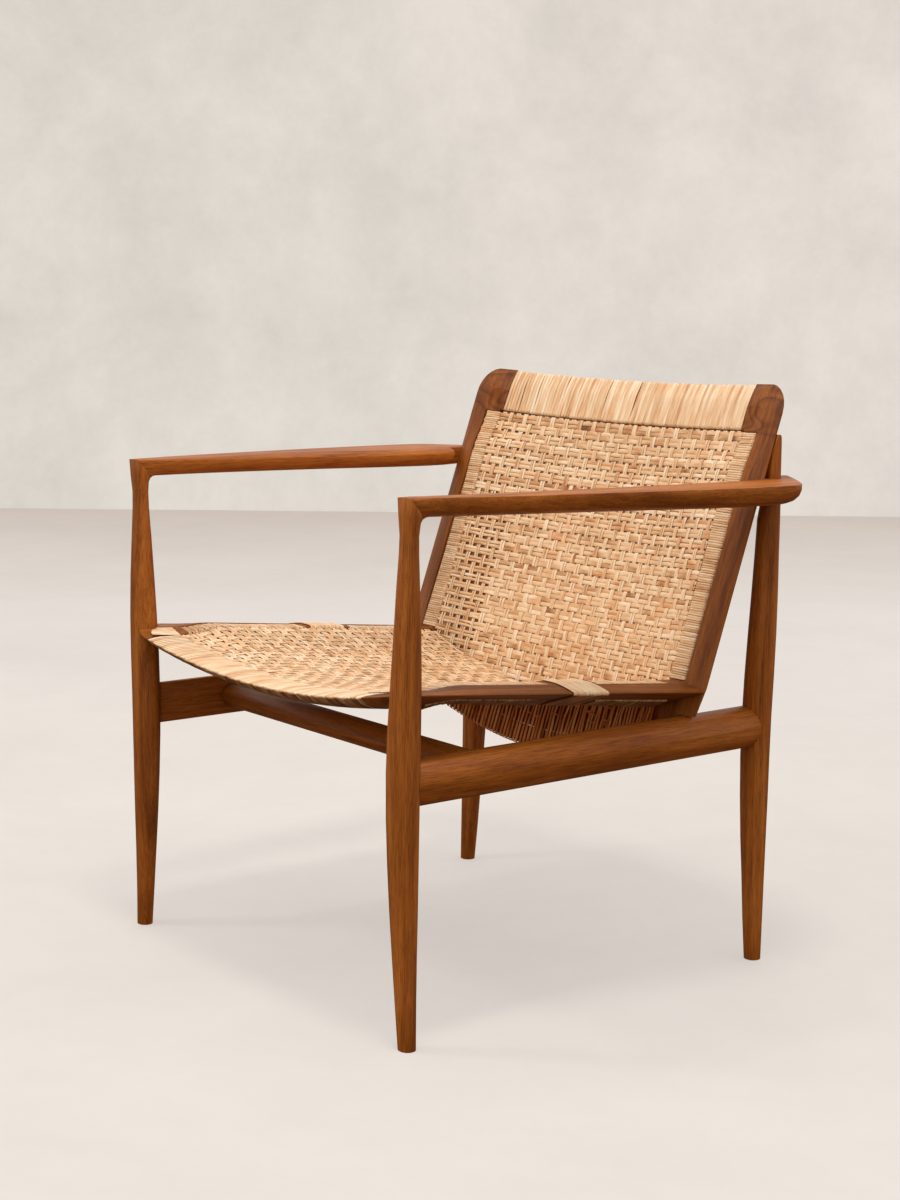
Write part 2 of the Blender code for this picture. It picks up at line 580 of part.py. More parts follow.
def build_side(side, parts, cutters):
    """Legs, arm, stretcher and shell members of one side, with the bores between them."""
    w = word(side)

    def bore(tag, start, end, radius):
        start, end = ((side * p[0], p[1], p[2]) for p in (start, end))
        return rod("bore_%s_%s" % (tag, w), start, end, radius, cutters)

    def pin(tag, start, end, radius):
        start, end = ((side * p[0], p[1], p[2]) for p in (start, end))
        rod("%s_%s" % (tag, w), start, end, radius, parts, chamfer=0.0008)

    def screw(tag, start, end, head):
        start, end = ((side * p[0], p[1], p[2]) for p in (start, end))
        length = (Vector(end) - Vector(start)).length
        turned("%s_%s" % (tag, w), start, end,
               ((length, 0.0), (length - 0.004, 0.0020), (0.0024, 0.0020), (0.0023, head), (0.0009, head),
                (0.0, head * 0.6), (0.0, 0.0)), parts)

    leg_f = front_leg(side, parts)
    leg_b = loft("leg_back_" + w, mirrored(leg_rings(BACK_LEG, back_leg_y), side), parts)
    arm = loft("armrest_" + w, mirrored(arm_rings(), side), parts)
    stretcher = loft("stretcher_" + w, mirrored(stretcher_rings(-0.001, 0.531), side), parts)
    rail = side_member("seat_side_rail_" + w, seat_point, seat_frame_dip, seat_depth,
                       [(v, RIDGE_X, wrapped) for v, wrapped in side_stations()],
                       (-1, FRONT_RAIL_Y, SEAT_FRONT_Y, SEAT_CORNER), True, side, parts)
    stile = side_member("back_stile_" + w, back_point, back_frame_dip, back_depth,
                        ((-0.1400, 0.2660, False), (-0.1040, 0.2790, False), (-0.0850, 0.2835, False),
                         (-0.0550, RIDGE_X, False), (BACK_BAND_S[0], RIDGE_X, False))
                        + tuple((v, RIDGE_X, True) for v in BACK_STATIONS)
                        + ((BACK_BAND_S[1], RIDGE_X, False),),
                        (1, TOP_RAIL_S, BACK_TOP, BACK_CORNER), False, side, parts)

    leg_f_cut = loft("cut_leg_front_" + w, mirrored(
        [section(LEG_OUTER_X - width - GAP, LEG_OUTER_X + GAP, (LEG_FRONT_Y + depth / 2 + GAP, z),
                 (LEG_FRONT_Y - depth / 2 - GAP, z)) for z, width, depth in FRONT_LEG], side), cutters)
    leg_b_cut = loft("cut_leg_back_" + w, mirrored(leg_rings(
        BACK_LEG[:-3] + ((0.6500, 0.0176, 0.0174),), back_leg_y, GAP), side), cutters)
    below = box("cut_below_" + w, (min(side * 0.2602, side * 0.31), 0.30, 0.20),
                (max(side * 0.2602, side * 0.31), 0.48, STRETCHER_Z + STRETCHER_HALF + GAP), cutters)
    behind = loft("cut_behind_stile_" + w, mirrored(
        [[back_point(x, s, h) for x, h in ((0.32, 0.04), (0.32, -0.0003), (RIDGE_X + GAP, -0.0020), (0.2860, -0.0034),
                                           (0.2712, -0.0104), (0.2300, -0.0240), (0.2300, 0.04))]
         for s in (0.190, 0.30)], side), cutters)
    stile_cut = loft("cut_stile_" + w, mirrored(
        [[back_point(x, s, h) for x, h in ((RIDGE_X + 0.0006, 0.02), (RIDGE_X + 0.0006, -0.0018),
                                           (0.2712, -0.0070), (0.2200, -0.0240), (0.2200, 0.02))]
         for s in (0.15, 0.26)], side), cutters)
    front_face = loft("cut_stile_front_" + w, mirrored(
        [[back_point(x, s, h) for x, h in ((0.31, GAP), (0.31, -0.05), (0.20, -0.05), (0.20, FACE_RISE + GAP),
                                           (WOOD_X, FACE_RISE + GAP), (0.2850, 0.0020))]
         for s in (-0.16, 0.05)], side), cutters)
    slots = []
    for tag, (low, high) in (("front", FRONT_BAND_Y), ("rear", REAR_BAND_Y)):
        x0, x1 = sorted((side * SLOT_X[0], side * SLOT_X[1]))
        slots.append(box("slot_seat_%s_%s" % (tag, w), (x0, low + GAP, 0.30), (x1, high - GAP, 0.42), cutters))
    slot_back = loft("slot_back_" + w, mirrored(
        [[back_point(x, s, h) for x, h in ((SLOT_X[1], 0.02), (SLOT_X[1], -0.03), (SLOT_X[0], -0.03),
                                           (SLOT_X[0], 0.02))]
         for s in (BACK_BAND_S[0] + GAP, BACK_BAND_S[1] - GAP)], side), cutters)

    joint_x = sum(STRETCHER_X) / 2 + 0.0005
    bore_sf = bore("stretcher_front", (joint_x, -0.0060, STRETCHER_Z), (joint_x, 0.0370, STRETCHER_Z), 0.0053)
    bore_sb = bore("stretcher_back", (joint_x, 0.4930, STRETCHER_Z), (joint_x, 0.5350, STRETCHER_Z), 0.0053)
    bore_cross = bore("cross", (0.2290, CROSS_Y, CROSS_Z), (0.2785, CROSS_Y, CROSS_Z), 0.0053)
    inner, outer, _ = elbow(corner_share(1.0))
    middle = ((inner[0] + outer[0]) / 2, (inner[1] + outer[1]) / 2)
    arm_x = 0.2804
    bore_arm = bore("arm", (arm_x, middle[0] - 0.0060, middle[1] - 0.0060),
                    (arm_x, middle[0] + 0.0080, middle[1] + 0.0050), 0.0033)
    seat_pin_z = seat_point(0, LEG_FRONT_Y, 0.0)[2] - 0.0115
    bore_seat = bore("seat", (0.2330, LEG_FRONT_Y, seat_pin_z), (0.2750, LEG_FRONT_Y, seat_pin_z), 0.0033)
    foot_y, foot_z = 0.4143, 0.3066
    bore_foot = bore("foot", (0.2200, foot_y, foot_z), (0.2760, foot_y, foot_z), 0.0023)
    post_x, post_z = 0.2770, 0.6180
    bore_post = bore("post", (post_x, 0.5600, post_z), (post_x, 0.5230, post_z), 0.0023)

    cut(stretcher, (leg_f_cut, leg_b_cut, bore_sf, bore_sb, bore_cross, bore_foot))
    cut(leg_f, (bore_sf, bore_arm, bore_seat))
    cut(leg_b, (bore_sb, bore_post, behind))
    cut(arm, (leg_b_cut, stile_cut, bore_arm))
    cut(rail, [leg_f_cut, front_face, bore_seat] + slots)
    cut(stile, (below, slot_back, bore_foot, bore_post))

    pin("stretcher_dowel_front", (joint_x, -0.0050, STRETCHER_Z), (joint_x, 0.0360, STRETCHER_Z), 0.0050)
    pin("stretcher_dowel_back", (joint_x, 0.4940, STRETCHER_Z), (joint_x, 0.5340, STRETCHER_Z), 0.0050)
    pin("cross_rail_dowel", (0.2300, CROSS_Y, CROSS_Z), (0.2775, CROSS_Y, CROSS_Z), 0.0050)
    pin("arm_mitre_dowel", (arm_x, middle[0] - 0.0052, middle[1] - 0.0053),
        (arm_x, middle[0] + 0.0072, middle[1] + 0.0044), 0.0030)
    pin("seat_rail_dowel", (0.2340, LEG_FRONT_Y, seat_pin_z), (0.2740, LEG_FRONT_Y, seat_pin_z), 0.0030)
    screw("stile_foot_screw", (LIP_X - 0.0027, foot_y, foot_z), (0.2740, foot_y, foot_z), 0.0040)
    screw("post_screw", (post_x, 0.5462, post_z), (post_x, 0.5245, post_z), 0.0038)

    front, rear = ([v for v, wrapped in side_stations() if wrapped and low < v < high]
                   for low, high in (FRONT_BAND_Y, REAR_BAND_Y))
    lip_wrap("cane_seat_band_front_" + w, seat_point, seat_frame_dip, seat_depth, front, side, parts)
    lip_wrap("cane_seat_band_rear_" + w, seat_point, seat_frame_dip, seat_depth, rear, side, parts)
    lip_wrap("cane_back_band_" + w, back_point, back_frame_dip, back_depth, BACK_STATIONS, side, parts)
    corner_cane("cane_corner_" + w, side, parts)
    bridge_wrap("cane_bridge_wrap_" + w, side, parts)
    return bore_cross


def build_cross_rail(parts, bores):
    reach = STRETCHER_X[0] - GAP
    rail = rod("cross_rail", (-reach, 0, 0), (reach, 0, 0), 1.0, parts, sides=24)
    rail.data.transform(Matrix.Diagonal((CROSS_HALF_Z, CROSS_HALF_Y, 1.0, 1.0)))
    rail.location = (-reach, CROSS_Y, CROSS_Z)
    cut(rail, bores)


def cane_fields(parts):
    """The woven seat, the woven back and the open strands below the crease."""
    wide, tall = 16, 12
    edge = LIP_X - 3 * GAP - CANE - 0.0020

    seat_rows = []
    for i in range(tall + 1):
        share = i / tall
        row = []
        for j in range(wide + 1):
            x = edge * (2 * j / wide - 1)
            s = crease(x)
            end = back_point(x, s, back_cane_height(x, s))[1] - 0.0022
            y = FRONT_RAIL_Y + 0.0012 + (end - FRONT_RAIL_Y - 0.0012) * share
            row.append(seat_point(x, y, seat_cane_height(x, y)))
        seat_rows.append(row)
    field("cane_seat", seat_rows, WEAVE, parts)

    back_rows, lower_rows = [], []
    for i in range(tall + 1):
        share = i / tall
        row = []
        for j in range(wide + 1):
            x = edge * (2 * j / wide - 1)
            s = crease(x) + (TOP_RAIL_S - 0.0006 - crease(x)) * share
            row.append(back_point(x, s, back_cane_height(x, s)))
        back_rows.append(row)
    for i in range(7):
        share = i / 6
        row = []
        for j in range(wide + 1):
            x = edge * (2 * j / wide - 1)
            top, low = crease(x) - 0.0006, bottom_edge(x) + 0.0300
            s = low + (top - low) * share
            row.append(back_point(x, s, back_cane_height(x, s)))
        lower_rows.append(row)
    field("cane_back", back_rows, WEAVE, parts)
    field("cane_back_strands", lower_rows, CANE, parts)

    return_rows = []
    for i in range(5):
        row = []
        for j in range(wide + 1):
            x = 0.2175 * (2 * j / wide - 1)
            low, high = bottom_edge(x) + 0.0300, crease(x) - 0.0275
            row.append(back_point(x, low + (high - low) * i / 4, back_cane_height(x, -0.1) - BAR + CANE))
        return_rows.append(row)
    field("cane_return_strands", return_rows, CANE, parts)


def hidden_rails(parts):
    """The rail behind the crease, and the bottom rail with its wrap."""
    def front(x):
        return back_cane_height(x, -0.1) - WEAVE - 0.0008

    half = LIP_X - GAP
    loft("seat_rear_rail", curved_bar(back_point, lambda x: crease(x) - 0.026, lambda x: crease(x) - 0.003,
                                      front, lambda x: front(x) - 0.011, half), parts)

    def face(x):
        return back_cane_height(x, -0.1)

    def bar(half, shrink):
        return curved_bar(back_point, bottom_edge, lambda x: bottom_edge(x) + 0.0290, face,
                          lambda x: face(x) - BAR, half, shrink=shrink)

    loft("back_bottom_rail", bar(half, CANE + 2 * GAP), parts)
    wrap_tube("cane_bottom_wrap", bar(0.2180, 0.0), CANE, parts)


def main():
    clear_scene()
    parts = new_collection("lounge_armchair")
    cutters = new_collection("cutters", hidden=True)

    bores = [build_side(side, parts, cutters) for side in (1, -1)]
    build_cross_rail(parts, bores)
    end_rail("seat_front_rail", "cane_front_wrap", seat_point, seat_frame_dip,
             (-1, FRONT_RAIL_Y, SEAT_FRONT_Y), parts)
    end_rail("back_top_rail", "cane_top_wrap", back_point, back_frame_dip,
             (1, TOP_RAIL_S, BACK_TOP), parts)
    hidden_rails(parts)
    cane_fields(parts)

    origin = bpy.data.objects.new("armchair_origin", None)
    origin.location = (0.0, -CENTRE_Y, 0.0)
    parts.objects.link(origin)
    for obj in list(parts.objects) + list(cutters.objects):
        if obj != origin:
            obj.parent = origin
    for obj in cutters.objects:
        obj.hide_render = True
        obj.display_type = "WIRE"
    for obj in origin.children:
        if obj.hide_render:
            continue
        if "cane" in obj.name:
            look = ((0.72, 0.50, 0.28), 0.55)
        elif "screw" in obj.name:
            look = ((0.62, 0.50, 0.26), 0.35)
        elif "dowel" in obj.name:
            look = ((0.60, 0.44, 0.26), 0.60)
        else:
            look = ((0.26, 0.10, 0.035), 0.42)
        obj.data.materials.append(material(obj.name, *look))


main()
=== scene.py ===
"""The looks of the armchair: an oiled wooden frame with a seat and back of woven split cane."""

import math

import bpy
import numpy as np
from mathutils import Matrix, Vector
from mathutils.bvhtree import BVHTree


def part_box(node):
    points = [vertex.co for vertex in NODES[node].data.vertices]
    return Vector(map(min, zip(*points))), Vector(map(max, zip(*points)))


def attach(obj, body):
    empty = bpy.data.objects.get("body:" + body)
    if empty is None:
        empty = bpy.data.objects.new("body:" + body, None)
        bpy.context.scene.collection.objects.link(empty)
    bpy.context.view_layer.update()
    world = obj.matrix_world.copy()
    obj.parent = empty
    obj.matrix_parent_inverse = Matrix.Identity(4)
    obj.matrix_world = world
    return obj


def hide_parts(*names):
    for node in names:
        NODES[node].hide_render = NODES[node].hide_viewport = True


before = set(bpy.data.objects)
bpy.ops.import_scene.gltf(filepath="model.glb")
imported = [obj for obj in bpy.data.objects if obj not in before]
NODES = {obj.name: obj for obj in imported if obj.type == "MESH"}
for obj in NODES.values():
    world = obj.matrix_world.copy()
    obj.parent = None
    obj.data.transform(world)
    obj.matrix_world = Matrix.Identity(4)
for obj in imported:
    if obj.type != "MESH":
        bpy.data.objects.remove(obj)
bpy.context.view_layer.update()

RANDOM = np.random.default_rng(11)
X_AXIS = np.array([1.0, 0.0, 0.0])

# ------------------------------------------------------------------ sizes, in metres
# y runs back along the seat from the line of the front legs, and s runs up the leaning back.
CENTRE_Y = 0.2774                 # the chair's own middle, along y
SEAT_Z, SEAT_FALL = 0.3880, 0.1024   # height of the seat's plane at y = 0, and how it falls
BACK_Y, BACK_Z = 0.4461, 0.4000   # place of the back's plane at s = 0
LEAN = math.radians(19.5)
UP = (math.sin(LEAN), math.cos(LEAN))
OUT = (-math.cos(LEAN), math.sin(LEAN))

# Seat and back curve across the chair: they stand proud of their planes at the sides and dip between.
PROUD = 0.0054
CURVE_X = 0.2315                  # where the curve ends at each side
RIDGE_X = 0.2880                  # and where it ends at the seat's front and the back's top
SEAT_ROUND, BACK_ROUND = (0.026, 0.085), (0.200, 0.256)   # from where to where one becomes the other
SEAT_DIP, SEAT_DEEPER, SEAT_LENGTH = 0.0311, 0.0179, 0.43   # dip at y = 0, and how much more at the length
BACK_BOW, TOP_FLATTER = 0.0275, 0.0035   # dip of the back, and how much less it is at its top
BAR = 0.0145                      # thickness of the bottom rail, wrap included
BAR_S, BAR_RISE, BAR_X = -0.1760, 0.0460, 0.24   # its lower edge, and how much higher that is at BAR_X

# Woven fields
FIELD_HALF = 0.2284               # half their width, from band to band
FIELD_FRONT, FIELD_TOP = 0.0262, 0.2577
WOVEN = 0.0026                    # depth of the weave
STRAND = 0.0010                   # thickness of a woven strand
COLUMNS = 35                      # pairs of strands across the chair
ROW_PITCH = 0.0126                # from one pair to the next, along the seat and the back
# Width of a strand, and half the way between the two of a pair, each with how much less it is in loose weave
COLUMN_WIDTH, COLUMN_APART = (0.0045, 0.0014), (0.0021, 0.0003)
ROW_WIDTH, ROW_APART = (0.0064, 0.0023), (0.0030, 0.0008)
WAVE, STAGGER = 0.00045, 0.00008  # how far strands rise and sink, and a pair's difference in height
RETURN_DEPTH = 0.0034             # how deep the strands lie that return behind the weave
RETURN_STRAND = 0.0009            # and their thickness

# Loose strands below the seat, with strips of painted shade behind them
HANGING, BACKING, KNOTS = 66, 44, 24         # strands, dark strips behind them, and short ends across them
HANGING_HALF, BACKING_HALF = 0.2155, 0.2308  # half the width that strands and strips fill
BACKING_WIDTH = 0.0112
SKIN, TURN = 0.0008, 0.0038       # how deep a strand's middle lies, and the outer radius of its bends

# Cane wound round the rails
WRAP_STRAND = 0.0015              # thickness of a wound strand
WRAP_STEP = 0.003                 # between its points
WRAP_PITCH, BAND_PITCH, BRIDGE_PITCH = 0.0054, 0.0029, 0.0056   # from one strand to the next
SEAT_BANDS = {"seat_band_front": (0.0388, 0.2127), "seat_band_rear": (0.2833, 0.3987)}   # along y
BACK_BAND = (-0.0523, 0.2562)     # along s
BRIDGE = (0.2216, 0.2741)         # along y
FAN_STRANDS, FAN_X, FAN_PITCH, FAN_WIDTH = 15, 0.2283, 0.0036, 0.0044
FAN_TURN = 0.8                    # in degrees, from one strand of a corner's fan to the next

# Wooden pieces
ARRIS, WELD = 0.0007, 0.00001     # how far their edges are rounded, and what counts as one point

# A strand's section: places across its width and thickness
SECTION = np.array([(-0.5, 0.0), (-0.36, 0.46), (0.36, 0.46), (0.5, 0.0), (0.0, -0.5)])

# Camera, room and lamps
EYE = Vector((2.0053, -1.5688, 0.8112))
AZIMUTH, PITCH, ROLL = 52.0781, 8.5233, 0.5575   # in degrees
LENS, SENSOR = 62.91, 36          # in millimetres
WALL_AWAY = 7.55                  # from below the camera to the wall
ROOM_HALF, ROOM_DEPTH, ROOM_HEIGHT = 9.0, 16, 6
LAMPS_AIM, LAMP_COLOUR = Vector((0, 0, 0.2)), (1.0, 0.96, 0.91)


# ------------------------------------------------------------------ surfaces of the woven cane
def smooth_step(value, low, high):
    """0 below low, 1 above high, and a smooth rise between."""
    t = np.clip((value - low) / (high - low), 0, 1)
    return t * t * (3 - 2 * t)


def seat_surface(x, y):
    blend = 1 - smooth_step(y, *SEAT_ROUND)
    reach = CURVE_X + (RIDGE_X - CURVE_X) * blend
    dip = SEAT_DIP + SEAT_DEEPER * np.maximum(0, y) / SEAT_LENGTH
    height = PROUD - dip * (1 - (x / reach) ** 2)
    return np.stack([x, y - CENTRE_Y, SEAT_Z - SEAT_FALL * y + height], -1)


def back_height(x, s):
    """How far the back's surface stands over its plane."""
    blend = smooth_step(s, *BACK_ROUND)
    reach = CURVE_X + (RIDGE_X - CURVE_X) * blend
    bow = BACK_BOW - TOP_FLATTER * blend
    return PROUD - bow * (1 - (x / reach) ** 2)


def back_place(x, s, height):
    """Points at a height over the back's plane."""
    y = BACK_Y + UP[0] * s + OUT[0] * height - CENTRE_Y
    return np.stack([x, y, BACK_Z + UP[1] * s + OUT[1] * height], -1)


def back_surface(x, s):
    return back_place(x, s, back_height(x, s))


def crease(x):
    """How far down the back the seat meets it, found by stepping to where both are equally high."""
    s = np.full(np.shape(x), -0.07)
    for _ in range(40):
        y = back_surface(x, s)[..., 1] + CENTRE_Y
        z = seat_surface(x, y)[..., 2]
        s = s + 0.8 * ((z - BACK_Z - OUT[1] * back_height(x, s)) / UP[1] - s)
    return s


def crease_y(x):
    """The same place, along the seat."""
    return back_surface(x, crease(x))[..., 1] + CENTRE_Y


def bottom_edge(x):
    return BAR_S + BAR_RISE * (x / BAR_X) ** 2


def lifted(surface, x, v, lift):
    """Points on a surface raised by lift, and the surface's normals there."""
    e = 1e-4
    normal = np.cross(surface(x + e, v) - surface(x - e, v), surface(x, v + e) - surface(x, v - e))
    normal /= np.linalg.norm(normal, axis=-1, keepdims=True)
    return surface(x, v) + normal * np.asarray(lift)[..., None], normal


# ------------------------------------------------------------------ strands
def wander(count, every, size):
    """A random line of count values, with a bend every so many of them."""
    knots = RANDOM.normal(0, size, max(4, int(count / every) + 3))
    return np.interp(np.linspace(0, len(knots) - 1, count), np.arange(len(knots)), knots)


class Bundle:
    """Many flat strands that become one mesh.

    Its attribute strand holds the place across and along each strand and the nearness to its edge, and its
    attribute tone how pale the strand is.
    """

    def __init__(self):
        self.points, self.faces, self.sizes, self.strand, self.tone = [], [], [], [], []
        self.count = 0

    def add(self, path, normal, width, thick, tone, closed=False):
        n, k = len(path), len(SECTION)
        if closed:
            tangent = np.roll(path, -1, 0) - np.roll(path, 1, 0)
        else:
            tangent = np.gradient(path, axis=0)
        tangent /= np.linalg.norm(tangent, axis=1, keepdims=True)
        across = np.cross(tangent, normal)
        across /= np.linalg.norm(across, axis=1, keepdims=True)
        normal = np.cross(across, tangent)
        width = np.broadcast_to(width, n)
        ring = (path[:, None] + across[:, None] * (SECTION[None, :, :1] * width[:, None, None])
                + normal[:, None] * (SECTION[None, :, 1:] * thick))
        i, j = np.meshgrid(np.arange(n if closed else n - 1), np.arange(k), indexing="ij")
        i2, j2 = (i + 1) % n, (j + 1) % k
        quads = np.stack([i * k + j, i * k + j2, i2 * k + j2, i2 * k + j], -1).reshape(-1, 4)
        along = np.concatenate([[0], np.cumsum(np.linalg.norm(np.diff(path, axis=0), axis=1))])
        start = RANDOM.uniform(0, 40)
        side = SECTION[None, :, 0] * width[:, None]
        edge = np.broadcast_to(np.abs(SECTION[None, :, 0]) * 2, (n, k))
        strand = np.stack([side + start, np.broadcast_to(along[:, None], (n, k)), edge], -1)
        self.points.append(ring.reshape(-1, 3))
        self.strand.append(strand.reshape(-1, 3))
        self.tone.append(np.broadcast_to(np.asarray(tone).T, (k, n)).T.reshape(-1))
        self.faces.append((quads + self.count).reshape(-1))
        self.sizes.append(np.full(len(quads), 4))
        if not closed:
            caps = np.concatenate([np.arange(k)[::-1], (n - 1) * k + np.arange(k)])
            self.faces.append(caps + self.count)
            self.sizes.append(np.array([k, k]))
        self.count += n * k

    def finish(self, name, look, *replaced):
        """The strands as one object that rides on the chair."""
        points, faces = np.concatenate(self.points), np.concatenate(self.faces)
        sizes = np.concatenate(self.sizes)
        mesh = bpy.data.meshes.new(name)
        mesh.vertices.add(len(points))
        mesh.vertices.foreach_set("co", points.astype(np.float32).ravel())
        mesh.loops.add(len(faces))
        mesh.loops.foreach_set("vertex_index", faces.astype(np.int32))
        mesh.polygons.add(len(sizes))
        first = np.concatenate([[0], np.cumsum(sizes)[:-1]])
        mesh.polygons.foreach_set("loop_start", first.astype(np.int32))
        mesh.polygons.foreach_set("use_smooth", np.ones(len(sizes), bool))
        mesh.update(calc_edges=True)
        strand = mesh.attributes.new("strand", "FLOAT_VECTOR", "POINT")
        strand.data.foreach_set("vector", np.concatenate(self.strand).astype(np.float32).ravel())
        tone = mesh.attributes.new("tone", "FLOAT", "POINT")
        tone.data.foreach_set("value", np.concatenate(self.tone).astype(np.float32))
        mesh.materials.append(look)
        obj = bpy.data.objects.new(name, mesh)
        bpy.context.scene.collection.objects.link(obj)
        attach(obj, "root")
        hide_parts(*replaced)


# ------------------------------------------------------------------ weaving
def openness(x, v, on_seat):
    """How far apart the strands lie, from 0 to 1: the weave is looser towards one side."""
    waves = 0.5 + 0.5 * np.sin(x * 31 + v * 17 + 1.3) * np.sin(v * 29 - x * 13 + 0.4)
    if on_seat:
        side = 0.30 * smooth_step(-x, 0.02, 0.20) + 0.20 * smooth_step(0.10 - v, 0, 0.08)
        return np.clip(0.20 * waves + side, 0, 1)
    side = smooth_step(-x, 0.150, 0.178) * (0.25 + 0.75 * smooth_step(0.13 - v, 0, 0.08))
    upper = 0.30 * smooth_step(v, 0.06, 0.12) * smooth_step(0.235 - v, 0, 0.03)
    return np.clip(0.20 * waves + upper + side, 0, 1)


def shaped(wave):
    """A weaving strand stays high and low for a while, and crosses over quickly."""
    return np.sign(wave) * np.abs(wave) ** 0.6


def tone_along(base, count):
    """How pale a strand is along its length, from 0 to 1, straying from base."""
    return np.clip(base + wander(count, 7, 0.13), 0, 1)


def weave(bundle, surface, low, high, first_row, on_seat):
    """Pairs of strands woven one over, one under. low and high bound them along each column."""
    pitch_x = 2 * FIELD_HALF / COLUMNS
    depth = -WOVEN / 2
    phase = -math.pi * first_row / ROW_PITCH
    for i in range(COLUMNS):
        centre = -FIELD_HALF + pitch_x * (i + 0.5) + RANDOM.normal(0, 0.00035)
        pair_tone = RANDOM.normal(0.72, 0.06)
        for half in (-1, 1):
            count = int((high(centre) - low(centre)) / ROW_PITCH * 6) + 2
            v = np.linspace(low(centre), high(centre), count)
            loose = openness(centre, v, on_seat)
            width = (COLUMN_WIDTH[0] - COLUMN_WIDTH[1] * loose) * (1 + wander(count, 10, 0.08))
            apart = half * (COLUMN_APART[0] - COLUMN_APART[1] * loose)
            x = np.clip(centre + apart + wander(count, 12, 0.0004), -FIELD_HALF, FIELD_HALF)
            wave = shaped(np.cos(math.pi * v / ROW_PITCH + phase)) * (-1) ** i
            path, normal = lifted(surface, x, v, depth + WAVE * wave + STAGGER * half)
            tone = tone_along(pair_tone + RANDOM.normal(0, 0.08), count)
            bundle.add(path, normal, width, STRAND, tone)
    row_half = FIELD_HALF + 0.0012
    x_all = np.linspace(-row_half, row_half, COLUMNS * 6 + 1)
    lowest, highest = low(x_all) + 0.002, high(x_all) - 0.0012
    ripple = -shaped(np.cos(math.pi * (x_all + FIELD_HALF - pitch_x / 2) / pitch_x))
    for j in range(int((highest.max() - first_row) / ROW_PITCH) + 1):
        row = first_row + j * ROW_PITCH + RANDOM.normal(0, 0.0003)
        pair_tone = RANDOM.normal(0.60, 0.04)
        for half in (-1, 1):
            loose = openness(x_all, row, on_seat)
            v = row + half * (ROW_APART[0] - ROW_APART[1] * loose) + wander(len(x_all), 15, 0.0003)
            width = (ROW_WIDTH[0] - ROW_WIDTH[1] * loose) * (1 + wander(len(x_all), 11, 0.06))
            inside = (v > lowest) & (v < highest)
            tone = tone_along(pair_tone + RANDOM.normal(0, 0.09), len(x_all))
            path, normal = lifted(surface, x_all, v, depth + WAVE * ripple * (-1) ** j - STAGGER * half)
            ends = np.flatnonzero(np.diff(np.concatenate([[0], inside.astype(int), [0]])))
            for a, b in zip(ends[::2], ends[1::2]):
                if b - a > 8:
                    bundle.add(path[a:b], normal[a:b], width[a:b], STRAND, tone[a:b])
    return_layer(bundle, surface, low, high, on_seat)


def return_layer(bundle, surface, low, high, on_seat):
    """Plain strands behind the weave. Where the back's weave is open, their fronts are darkened with painted
    shade.
    """
    pitch, points = 2 * FIELD_HALF / COLUMNS, 26
    for i in range(COLUMNS * 2):
        x = -FIELD_HALF + pitch * (i + 0.5) / 2
        v = np.linspace(low(x), high(x), points)
        x_line = x + wander(points, 6, 0.0002)
        path, normal = lifted(surface, x_line, v, -RETURN_DEPTH + wander(points, 5, 0.00008))
        # painted shade on the fronts of these strands where the weave over them is open
        open_weave_shade = 0.0 if on_seat else 0.46 * smooth_step(-x, 0.140, 0.165)
        tone = tone_along(RANDOM.normal(0.54, 0.06), points)[:, None] - open_weave_shade * (SECTION[:, 1] > 0)
        bundle.add(path, normal, pitch * RANDOM.uniform(0.44, 0.495), RETURN_STRAND, np.maximum(tone, 0))


# ------------------------------------------------------------------ strands wound round a member
MOST_CUTS = 5000                  # edges that a plane cuts: a longer loop would be a broken one


def triangles_of(source):
    mesh = NODES[source].data
    points = np.empty(len(mesh.vertices) * 3, np.float32)
    mesh.vertices.foreach_get("co", points)
    mesh.calc_loop_triangles()
    corners = np.empty(len(mesh.loop_triangles) * 3, np.int32)
    mesh.loop_triangles.foreach_get("vertices", corners)
    return points.reshape(-1, 3)[corners.reshape(-1, 3)].astype(float)


def outline_at(triangles, origin, normal):
    """The outer closed line, in order, where a plane cuts a node's triangles."""
    distance = (triangles - origin) @ normal
    distance[distance == 0] = 1e-9
    links, where = {}, {}
    for corners, d in zip(triangles, distance):
        if (d > 0).all() or (d < 0).all():
            continue
        keys = []
        for a, b in ((0, 1), (1, 2), (2, 0)):
            if (d[a] > 0) != (d[b] > 0):
                key = tuple(sorted((tuple(corners[a]), tuple(corners[b]))))
                where[key] = corners[a] + (corners[b] - corners[a]) * d[a] / (d[a] - d[b])
                keys.append(key)
        links.setdefault(keys[0], []).append(keys[1])
        links.setdefault(keys[1], []).append(keys[0])
    best, left = None, set(links)
    while left:
        start = here = min(left)
        loop, before = [start], None
        while True:
            left.discard(here)
            onward = [k for k in links[here] if k != before]
            before, here = here, (onward or [start])[0]
            if here == start or len(loop) > MOST_CUTS:
                break
            loop.append(here)
        points = np.array([where[k] for k in loop])
        length = np.linalg.norm(points - np.roll(points, 1, 0), axis=1).sum()
        if best is None or length > best[0]:
            best = (length, points)
    return best[1] if best else None


